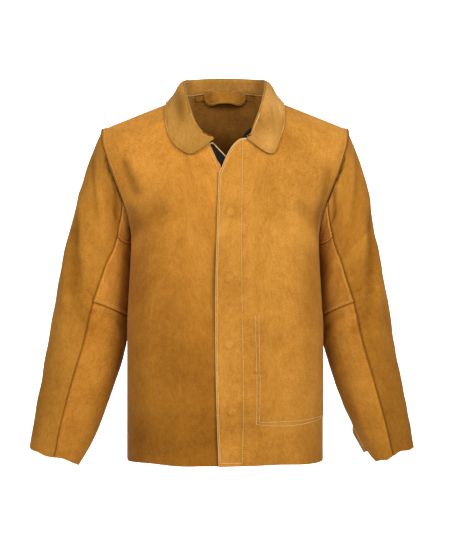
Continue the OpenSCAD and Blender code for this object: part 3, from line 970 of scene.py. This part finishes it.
def lathe(profile, centre, sides=28):
    """Turned part about the Y axis: profile is radius and y offset pairs."""
    angle = np.arange(sides) * 2 * np.pi / sides
    points, faces = [], []
    for r, y in profile:
        ring = np.stack([r * np.cos(angle), np.full(sides, y), r * np.sin(angle)], -1)
        points.append(ring + np.array(centre))
    for j in range(len(profile) - 1):
        p, q = j * sides, (j + 1) * sides
        faces += [[p + i, q + i, q + (i + 1) % sides, p + (i + 1) % sides] for i in range(sides)]
    faces += [list(range(sides)), [(len(profile) - 1) * sides + i for i in range(sides)][::-1]]
    return np.concatenate(points), faces


SOCKET = [(2.9, -0.3), (3.2, -1.6), (3.9, -SOCKET_HEIGHT), (5.4, -1.75), (5.9, -1.2), (6.0, -0.4),
          (5.6, 0.0)]
POST = [(1.2, -2.1), (1.9, -1.9), (2.1, -1.4), (1.8, -0.8), (2.6, -0.7), (5.2, -0.55), (5.5, -0.2),
        (5.3, 0.0)]


def build_studs():
    heights = STUD_Z0 + np.arange(STUDS) * STUD_PITCH
    plain = front_y(STUD_X, heights) - GAP
    raised = front_surface(1)[0](STUD_X, heights)[:, 1]    # sockets follow the left hide's folds
    for name, profile, face, depth, bend, node in (
            ("stud_socket_set", SOCKET, raised, LEATHER + SLACK + TAPE + SOCKET_HEIGHT, bend_left,
             "stud_sockets"),
            ("stud_post_set", POST, plain, LAYERS - LEATHER - TAPE - SLACK, bend_right, "stud_posts")):
        points, faces, count = [], [], 0
        for y, z in zip(face + depth, heights):
            p, f = lathe(profile, (STUD_X, y, z))
            points.append(p)
            faces += [[i + count for i in corners] for corners in f]
            count += len(p)
        place(new_object(name, np.concatenate(points), faces, [NICKEL]), bend, "stud_metal", node)


def build_pocket():
    x = mix(POCKET_LOW[0], POCKET_HIGH[0], np.linspace(0, 1, 40))[None, :] + np.zeros((60, 1))
    z = mix(POCKET_LOW[2], POCKET_HIGH[2], np.linspace(0, 1, 60))[:, None] + np.zeros((1, 40))
    slack = 2.5 * np.sin(np.pi * (x - x.min()) / np.ptp(x)) * smooth((z - POCKET_LOW[2]) / 180)
    y = front_y(x, z) + 1.3 - GAP + LEATHER / (0.1 + 0.9 * plan(x, z)) + slack
    grid = np.stack([x, y, z], -1)
    bag = hide_sheet("pocket_bag", grid, grid_normals(grid, (0, -1, 0)), FRONT_L, thick=1.2)
    place(bag, bend_left, "hide", "pocket_bag_front", "pocket_bag_side")


# ---------------------------------------------------------------- collar
# The collar's rim from the middle of the back to the front: x, z, and 1 on the back or -1 in front
LEAF_EDGE = [(0, 712, 1), (46, 711, 1), (86, 711, 1), (110, 717, 0.6), (119, 727, 0),
             (121, 707, -1), (119, 686, -1), (113, 658, -1), (104, 634, -1), (93, 619, -1),
             (81, 612, -1), (68, 616, -1), (51, 628, -1), (33, 642, -1)]
LEAF_BULGE, LEAF_CLEAR = 0.13, 5.2  # the leaf's arch, as a share of its height, and its clearance
STAND = 36.5                        # height of the stand at the back
TIP_START, TIP_FREE = 0.62, 0.78    # the tips are split off at the first of these shares of the way to the front
LEAF_ROWS, LEAF_COLUMNS = 26, 111


def away(p):
    """Level direction out from the neck."""
    return unit((p + np.array([0, 10.0, 0])) * np.array([1, 1, 0]))


def fold_line(t):
    """Where the collar turns down: high behind the neck, low at its ends."""
    p = neck_seam(t)
    h = mix(STAND, 3.0, clip01((t - 0.4) / 0.6))[..., None]
    dip = 3.4 * np.maximum(0, 1 - (p[..., :1] / 70) ** 2) * (np.asarray(t)[..., None] < 0.5)
    return p + (h - dip) * np.array([0, 0, 1.0]) - 0.1 * h * away(p)


def leaf_rim(t):
    e = along(LEAF_EDGE, t)
    x, z, where = e[..., 0], e[..., 1], e[..., 2]
    back = back_y(x, z) * clip01(where) + 5
    y = np.where(where > 0, back, front_y(x, z) - 5)
    return np.stack([x, y, z + 2.5], -1)


def over_body(p, free_x):
    """Keeps the points outside the body, except above the shoulders and over the open neck."""
    x, y, z = p[..., 0], p[..., 1], p[..., 2]
    free = (z > seam_z(x) - 3) | ((np.abs(x) < free_x) & (y < 0))
    held = np.where(y < 0, np.minimum(y, front_y(x, z) - LEAF_CLEAR),
                    np.maximum(y, back_y(x, z) + LEAF_CLEAR))
    return np.stack([x, np.where(free, y, held), z], -1)


def leaf(t, r):
    """The turned-down collar: t runs round the neck, r from the fold to the rim."""
    t, r = np.broadcast_arrays(np.asarray(t, float), np.asarray(r, float))
    seam = neck_seam(t)
    a = fold_line(t) + 3.0 * away(seam)
    c = leaf_rim(t)
    reach = np.linalg.norm(c - a, axis=-1, keepdims=True)
    b = a + LEAF_BULGE * reach * away(seam) + np.array([0, 0, 2.0])
    r = r[..., None]
    return (1 - r) ** 2 * a + 2 * r * (1 - r) * b + r**2 * c


def collar_surface(side):
    def point(t, r):
        p = leaf(np.abs(t), r)
        across = side * shift(np.abs(t), r, side)
        x = np.where(t < 0, -1, 1) * p[..., 0] + across
        return over_body(np.stack([x, p[..., 1], p[..., 2]], -1), 30 + across)
    return point


def smoothed(grid, times):
    """Relaxes a grid inside its border, which takes out the creases where its rules change."""
    g = grid.copy()
    for _ in range(times):
        around = g[:-2, 1:-1] + g[2:, 1:-1] + g[1:-1, :-2] + g[1:-1, 2:]
        g[1:-1, 1:-1] = 0.5 * g[1:-1, 1:-1] + 0.125 * around
    return g


def bend_leaf(side):
    """The function that a collar leaf, from the torso to its tip, is handed to; it only bakes the leaf's
    transform.
    """
    start, end = (to_row(mirrored(fold_line(np.array(t)), side)) for t in (TIP_START, TIP_FREE))
    return blending()


def build_collar():
    r = np.linspace(1, 0, LEAF_ROWS)[:, None]
    half = np.linspace(0, 1, LEAF_COLUMNS)[None, :]
    right, left = (mirrored(smoothed(collar_surface(side)(half, r), 12), side) for side in (-1, 1))
    full = smoothed(np.concatenate([right[:, :0:-1], left], axis=1), 4)
    down, across = np.indices(full.shape[:2])
    wave = ripple(across * 3.0, down * 4.0, 61, 70)
    full = full + grid_normals(full, (0, 0, 1)) * (0.7 * wave)[..., None]
    normal = grid_normals(full, (0, 0, 1))
    x, z = full[..., 0], full[..., 2]
    # random dye variation; painted shade along a fold of the right leaf and over the right leaf as a
    # whole; darker along the outer rim
    tone = 0.90 + 0.13 * ripple(x, z, 62, 60) - crease(x, z, (-96, 752), (-84, 672), 8, 0.24)
    tone = tone * (1 - 0.13 * smooth(-x / 60)) * (1 - 0.12 * bump((1 - r) * 60, 5))
    middle = LEAF_COLUMNS - 1
    root = int(round(TIP_START * middle))
    for name, first, last, follow, node, cut, share in (
            ("collar_fall_hide", middle - root, middle + root, "torso", "collar_fall", ("bottom",),
             None),
            ("left_collar_leaf", middle + root, 2 * middle, bend_leaf(1), "left_collar_tip",
             ("bottom", "right"), (0.4, 1, 2)),
            ("right_collar_leaf", 0, middle - root, bend_leaf(-1), "right_collar_tip",
             ("bottom", "left"), (0, 0.6, 4))):
        part = np.s_[:, first:last + 1]
        piece = hide_sheet(name, full[part], normal[part], COLLAR, tone=tone[part],
                           uv_origin=(first * 3.2, 0), cut=cut, cut_share=share)
        place(piece, follow, "collar_hide", node)


def build_stand():
    t = np.linspace(-1, 1, 161)[None, :]
    r = np.linspace(0, 1, 12)[:, None]
    seam = neck_seam(np.abs(t))
    roll = 2.2 * np.sin(np.pi / 2 * smooth((r - 0.8) / 0.2))
    p = mix(seam + np.array([0, 0, 1.0]), fold_line(np.abs(t)), r[..., None])
    p = p + away(seam) * roll[..., None]
    x = np.sign(t) * p[..., 0] + shift(np.abs(t), 0.0, t)
    grid = np.stack([x, p[..., 1], p[..., 2]], -1)
    normal = grid_normals(grid, (0, 0, 0.001))
    if (grid * normal)[..., :2].sum(-1).mean() < 0:
        normal = -normal
    # painted shade inside the collar: the stand is darker throughout and darkest by the neck seam; with
    # random dye variation
    tone = (0.86 - 0.22 * bump(r * STAND, 7)) * (1 + 0.06 * ripple(x, r * STAND, 64, 70))
    stand = hide_sheet("collar_stand_hide", grid, normal, [COLLAR[0], COLLAR[0], EDGE], tone=tone,
                       cut=("left", "right"))
    place(stand, "torso", "collar_hide", "collar_stand")
    t = np.linspace(-0.98, 0.98, 300)
    line = neck_seam(np.abs(t))
    inward = -away(line)
    inward[t < 0, 0] *= -1
    line[:, 0] = np.sign(t) * line[:, 0] + shift(np.abs(t), 0.0, t)
    line = line + inward * (LEATHER + 0.2) + np.array([0, 0, 3.0])
    sew("neck_seam_stitches", THREAD, "torso", stitch_row(line, inward, radius=0.62))


def build_neck_tape():
    x = np.linspace(62, -62, 45)[None, :] + np.zeros((8, 1))
    z = back_neck(x) + np.linspace(-11, -1, 8)[:, None]
    y = back_y(x, z) + GAP - LEATHER - 2.0
    grid = np.stack([x, y, z], -1)
    tape = hide_sheet("neck_tape_strip", grid, grid_normals(grid, (0, -1, 0)), [INSIDE] * 3,
                      thick=TAPE)
    place(tape, "torso", "hide", "neck_tape")


def build_loop():
    half_length = LOOP_HIGH[0]
    middle_z = (LOOP_LOW[2] + LOOP_HIGH[2]) / 2
    plane = LOOP_LOW[1] + 3.5
    end_round = 15

    def half_height(x):
        waist = mix(11.7, 15.6, smooth((np.abs(x) - 8) / 20))
        past = clip01((np.abs(x) - half_length + end_round) / end_round)
        return waist * np.sqrt(np.maximum(0.04, 1 - past**2))

    def face(x, z):
        end = back_y(x, z) - LEATHER - 5.2
        return mix(end, plane, smooth((36 - np.abs(x)) / 28))

    angle = np.linspace(math.pi / 2, -math.pi / 2, 61)
    level = np.linspace(-1, 1, 17)[:, None]
    x = (half_length * np.sin(angle))[None, :] + 0 * level
    z = middle_z + half_height(x) * level
    grid = np.stack([x, face(x, z), z], -1)
    normal = grid_normals(grid, (0, -1, 0))
    grid = grid + normal * (0.7 * (1 - level**4))[..., None]
    tone = 0.74 + 0.05 * ripple(grid[..., 0], grid[..., 2], 66, 30)
    loop = hide_sheet("hanging_loop", grid, normal, FRONT_L, tone=tone, cut=("top",))
    place(loop, "torso", "hide", "hanger_loop")
    turn = np.linspace(0, 2 * math.pi, 220)
    x = (half_length - 2.6) * np.cos(turn)
    rise = np.sign(np.sin(turn)) * np.abs(np.sin(turn)) ** 0.35
    z = middle_z + rise * (half_height(x) - 2.4)
    path = np.stack([x, face(x, z) - 0.6, z], -1)
    forward = np.tile([0, -1.0, 0], (len(path), 1))
    sew("hanging_loop_stitches", TAN_THREAD, "torso",
        stitch_row(path, forward, pitch=3.0, length=2.3))


# ---------------------------------------------------------------- sleeves
# Outlines from the shoulder to the cuff, as x and z, and the depth at the same places
SLEEVE_OUTER = [(251, 673), (273, 618), (294, 545), (315, 452), (337, 340), (352, 250), (369, 160),
                (382, 82), (394, 22)]
SLEEVE_INNER = [(190, 456), (190.5, 430), (192.5, 395), (195, 350), (198, 298), (203, 232),
                (225, 152), (259, 68), (301, -6)]
INNER_BACK = [20, 34, 38, 38, 34, 24, 10, 0, 0]    # how far the inner line lies behind the side seams
SLEEVE_DEPTH = [60, 62, 63, 64, 62, 60, 56, 50, 43]
SEAM_TURN = [112, 116.5, 114.5, 103, 93, 88.5, 84.5, 84.5, 93]    # degrees from the outer line
SLEEVE_LENGTH, SLEEVE_RADIUS, SLEEVE_GIRTH = 660.0, 62.0, 390.0
ROUNDNESS = 0.92         # below 1 the rings are squarer than an ellipse
SHOULDER_X, SHOULDER_Z = 219.0, 566.0              # middle of the armhole
SHOULDER_RUN = np.array([0.966, 0, -0.26])         # direction of the sleeve there
SHOULDER_BEND, ELBOW_START, ELBOW_BEND = 45.0, 14.0, 120.0
TOP_SPLIT = 0.34         # where the top hide is split into its upper and its lower piece
ELBOW, GUSSET = 0.5, 0.13
CROSSES = {GUSSET: (-0.052, 0.072), ELBOW: (0.016, -0.004)}    # how these seams bow
SLIT = 0.0008            # half the width of a seam across the under sleeve
# painted shade: how dark each sleeve grows towards its cuff
CUFF_SHADE = {1: 0.53, -1: 0.74}
UNDER_TONE = {1: (1.40, 1.40), -1: (1.5, 1.12)}    # at the shoulder and at the cuff

# Folds and shades in millimetres round the sleeve and down it. Round it, 0 is the outer line,
# 97 the front, 195 the inner line and 292 the back.
SLEEVE_FOLDS = [
    ((60, 1), (122, 25), 6, -4.59), ((66, 16), (112, 36), 7, 3.24),
    ((104, 40), (118, 95), 7, -3.51), ((24, 70), (88, 180), 12, -3.51),
    ((14, 150), (66, 270), 17, 4.32), ((36, 200), (82, 330), 11, -6.21),
    ((16, 250), (60, 360), 12, 4.59), ((60, 300), (104, 350), 8, 3.24),
    ((30, 380), (70, 560), 22, -2.97), ((74, 390), (88, 600), 16, 2.43),
    ((110, 200), (140, 300), 12, -2.7), ((88, 306), (108, 330), 4, -2.97),
    ((80, 322), (104, 346), 5, 2.16), ((120, 345), (185, 380), 10, -4.05),
    ((125, 372), (190, 420), 10, 2.97), ((140, 430), (170, 600), 18, -2.43),
    ((340, 80), (300, 210), 18, -3.2), ((360, 200), (300, 340), 20, 3.0),
    ((300, 300), (250, 390), 14, -3.4), ((330, 370), (290, 560), 26, 2.2),
    ((260, 380), (250, 600), 20, -2.0), ((350, 330), (290, 365), 10, -2.4)]
LEFT_CUFF_FOLD = ((222, 580), (228, 655), 15, 12.0)
SLEEVE_SHADES = [((30, 190), (76, 330), 10, 0.34), ((60, 1), (122, 26), 6.5, 0.34),
                 ((104, 40), (118, 95), 7, 0.24), ((26, 70), (88, 180), 14, 0.20),
                 ((70, 330), (110, 400), 10, 0.16)]


def armhole(a):
    z = mix(ARMPIT_Z, TIP_Z, (1 + np.cos(a)) / 2)
    x = edge_x(z)
    y = np.where(np.sin(a) > 0, front_y(x, z), back_y(x, z))
    return np.stack([x, y, z], -1) + 0.9 * SHOULDER_RUN


def sleeve_base(side, s, a):
    """Plain surface of a sleeve: s runs down it from 0 to 1, a round it from the outer line."""
    s, a = np.broadcast_arrays(np.asarray(s, float), np.asarray(a, float))
    o, i, d = along(SLEEVE_OUTER, s), along(SLEEVE_INNER, s), along(SLEEVE_DEPTH, s)
    o = o + smooth((s - 0.18) / 0.3)[..., None] * np.array([7.5 if side < 0 else -7.0, 0])
    if side < 0:
        i = i + smooth((s - 0.75) / 0.25)[..., None] * np.array([-1.0, -9.0])
    c, n = np.cos(a), np.sin(a)
    w = 0.5 * (1 + np.sign(c) * np.abs(c) ** ROUNDNESS)
    y = -d * np.sign(n) * np.abs(n) ** ROUNDNESS + along(INNER_BACK, s) * (1 - w) ** 2
    ring = np.stack([mix(i[..., 0], o[..., 0], w), y, mix(i[..., 1], o[..., 1], w)], -1)
    return mix(armhole(a), ring, smooth(s / 0.14)[..., None])


def seam_angle(s):
    """Where the long seam in front of the sleeve runs; the one behind mirrors it."""
    return np.radians(along(SEAM_TURN, s))


def cross_line(cross, s, a):
    """Where a seam across the under sleeve runs: between its body side and the long seams."""
    out = np.abs(a - np.pi) / (np.pi - seam_angle(s))
    return cross + mix(*CROSSES[cross], smooth(out))


def uneven(s, a, seed, scale, shrink=1.0):
    """A ripple that joins up round the sleeve."""
    return ripple(np.cos(a) * SLEEVE_RADIUS, s * SLEEVE_LENGTH * shrink + np.sin(a) * SLEEVE_RADIUS,
                  seed, scale)


def sleeve_relief(side, s, a, part):
    """Folds and seams of a sleeve."""
    u = (a % (2 * np.pi)) * SLEEVE_RADIUS
    v = s * SLEEVE_LENGTH
    h = 2.4 * uneven(s, a, 70 + side, 120, 0.6) + 0.9 * uneven(s, a, 75 + side, 50)
    h = h * smooth(s / 0.08) * mix(1.0, 0.6, smooth((s - 0.9) / 0.1))
    h += folds(u, v, SLEEVE_FOLDS + ([LEFT_CUFF_FOLD] if side > 0 else []))
    seam = seam_angle(s) * SLEEVE_RADIUS
    off = np.minimum(np.abs(u - seam), np.abs(SLEEVE_GIRTH - seam - u))
    h += (-1.7 * bump(off, 1.3) + 0.8 * bump(off - 4, 2.4)) * smooth((s - 0.01) / 0.03)
    h += -0.6 * bump(v, 1.5) + 1.2 * bump(v - 7, 5)
    if part == "under":
        for cross in CROSSES:
            d = v - cross_line(cross, s, a) * SLEEVE_LENGTH
            h += 1.8 * bump(d + 4.5, 4.0) - 1.2 * bump(d - 1.5, 2.0) - 0.6 * bump(d + 10, 2.0)
    return h


def sleeve_surface(side, part):
    """The outer surface of a sleeve and its normals, as functions of the angle and the length."""
    def crossing(surface, a, s):
        da = surface(a + 0.01, s) - surface(a - 0.01, s)
        ds = surface(a, s + 0.001) - surface(a, s - 0.001)
        return unit(np.cross(da, ds))

    def base(a, s):
        return sleeve_base(side, s, a)

    def point(a, s):
        return base(a, s) + crossing(base, a, s) * sleeve_relief(side, s, a, part)[..., None]

    def normal(a, s):
        return crossing(point, a, s)
    return point, normal


def cuff_line(side, a):
    """Where the sleeve ends; the left cuff is cut back on its body side, in front."""
    level = 0.992 + 0.006 * np.sin(3 * a + side) + 0.004 * np.sin(7 * a + 2 * side)
    level = level - 0.008 * bump(a - 2.3, 0.3)
    if side > 0:
        level = level + 0.013 * bump(a - 2.2, 0.4)
        level = level - 0.080 * smooth((a - 2.55) / 0.5) * smooth((3.32 - a) / 0.15)
        level = level - 0.030 * smooth((a - 3.17) / 0.15) * smooth((4.3 - a) / 0.6)
    return level


def bend_upper(side):
    """The function that the upper hides of a sleeve, across the armhole and down the upper arm, are
    handed to; it only bakes their transform.
    """
    low = np.array([SHOULDER_X, 0, SHOULDER_Z])
    start, end = (to_row(mirrored(p, side)) for p in (low, low + SHOULDER_BEND * SHOULDER_RUN))
    return blending()


def bend_lower():
    """The function that the lower hides of a sleeve are handed to; it only bakes their transform."""
    return blending()


def dense_ends(count, length):
    """Even steps from 0 to 1, with more of them within 3 mm of both ends of a length."""
    extra = np.array([0.7, 1.7, 2.7]) / length
    return np.unique(np.concatenate([np.linspace(0, 1, count), extra, 1 - extra]))


def sleeve_tone(side, part, s, a, turn):
    """Dark seam lines, random dye variation and painted light: painted shade round towards the back at
    both sides, towards the cuff and in the folds; a painted highlight and shade at each seam across
    the under sleeve.
    """
    u, v = (a % (2 * np.pi)) * SLEEVE_RADIUS, s * SLEEVE_LENGTH
    tone = 1 + 0.06 * uneven(s, a, 90 + side, 140) + 0.05 * uneven(s, a, 95 + side, 55)
    # a dark line at the armhole seam, and painted shade where the sleeve turns round at its outer and
    # inner lines
    tone = tone * (1 - 0.5 * bump(v, 2.2)) * (1 - 0.18 * smooth((np.abs(np.cos(a)) - 0.5) / 0.5))
    tone *= 1 - 0.5 * bump(turn * 200, 1.3) - 0.5 * bump((1 - turn) * 200, 1.3)
    # painted shade: darker towards the cuff
    tone *= mix(0.79, CUFF_SHADE[side], smooth(s / 0.95))
    if part == "under":
        tone *= mix(*UNDER_TONE[side], smooth(s))
        for cross in CROSSES:
            d = (s - cross_line(cross, s, a)) * SLEEVE_LENGTH
            # a painted highlight on the ridge above each cross seam, with painted shade just below it
            tone *= 1 + 0.16 * bump(d + 4, 3.0) - 0.30 * bump(d - 1, 2.2)
    return shaded(tone, u, v, SLEEVE_SHADES)


def sleeve_panel(side, label, materials, first, last, bend, *nodes):
    """One hide of a sleeve, between two shares of its length."""
    part = "top" if "top" in label else "under"
    turn = (dense_ends(76, 216.0) if part == "top" else dense_ends(60, 170.0))[None, :]
    length = last - first
    down = dense_ends(max(6, int(round(length * 150))), length * SLEEVE_LENGTH)[:, None]
    ends = []
    for end in (first, last):
        level = end + 0 * turn
        for cross in CROSSES:
            if part == "under" and abs(end - cross) < 0.01:
                seam = seam_angle(np.array([[end]]))
                level = end - cross + cross_line(cross, end, mix(seam, 2 * np.pi - seam, turn))
        ends.append(level)
    s = mix(ends[0], ends[1], down)
    seam = seam_angle(s)
    a = mix(-seam, seam, turn) if part == "top" else mix(seam, 2 * np.pi - seam, turn)
    s = np.where(s > 0.9, mix(0.9, cuff_line(side, a), clip01((s - 0.9) / 0.1)), s)
    piece = hide_sheet(f"{SIDE_NAME[side]}_{label}", *sample(sleeve_surface(side, part), side, a, s),
                       materials, uv_origin=(0, first * SLEEVE_LENGTH),
                       tone=sleeve_tone(side, part, s, a, turn), cut=("top",) if last == 1 else ())
    place(piece, bend, "sleeve_hide", *[f"{SIDE_NAME[side]}_{node}" for node in nodes])


def build_sleeve(side, top, under):
    upper, lower = bend_upper(side), bend_lower()
    sleeve_panel(side, "sleeve_top_a", top, 0.0, TOP_SPLIT, upper)
    sleeve_panel(side, "sleeve_top_b", top, TOP_SPLIT, 1.0, lower, "sleeve_top_upper", "sleeve_top_lower")
    sleeve_panel(side, "armpit_gusset_hide", under, 0.0, GUSSET - SLIT, upper, "armpit_gusset")
    sleeve_panel(side, "sleeve_under_a", under, GUSSET + SLIT, ELBOW - SLIT, upper, "sleeve_under_upper")
    sleeve_panel(side, "sleeve_under_b", under, ELBOW + SLIT, 1.0, lower, "sleeve_under_lower")
    rows = []
    for cross in CROSSES:
        seam = seam_angle(np.full(140, cross))
        a = mix(seam + 0.05, 2 * np.pi - seam - 0.05, np.linspace(0, 1, 140))
        s = cross_line(cross, cross, a) - 7.0 / SLEEVE_LENGTH
        rows.append(stitch_row(*sample(sleeve_surface(side, "under"), side, a, s), radius=0.42))
    sew(SIDE_NAME[side] + "_upper_sleeve_stitches", TAN_THREAD, upper, *rows)


# ---------------------------------------------------------------- everything
build_front(1, FRONT_L, bend_left)
build_front(-1, FRONT_R, bend_right)
build_back()
build_fly()
build_studs()
build_pocket()
build_collar()
build_stand()
build_neck_tape()
build_loop()
build_sleeve(1, SLEEVE_L, UNDER_L)
build_sleeve(-1, SLEEVE_R, UNDER_R)
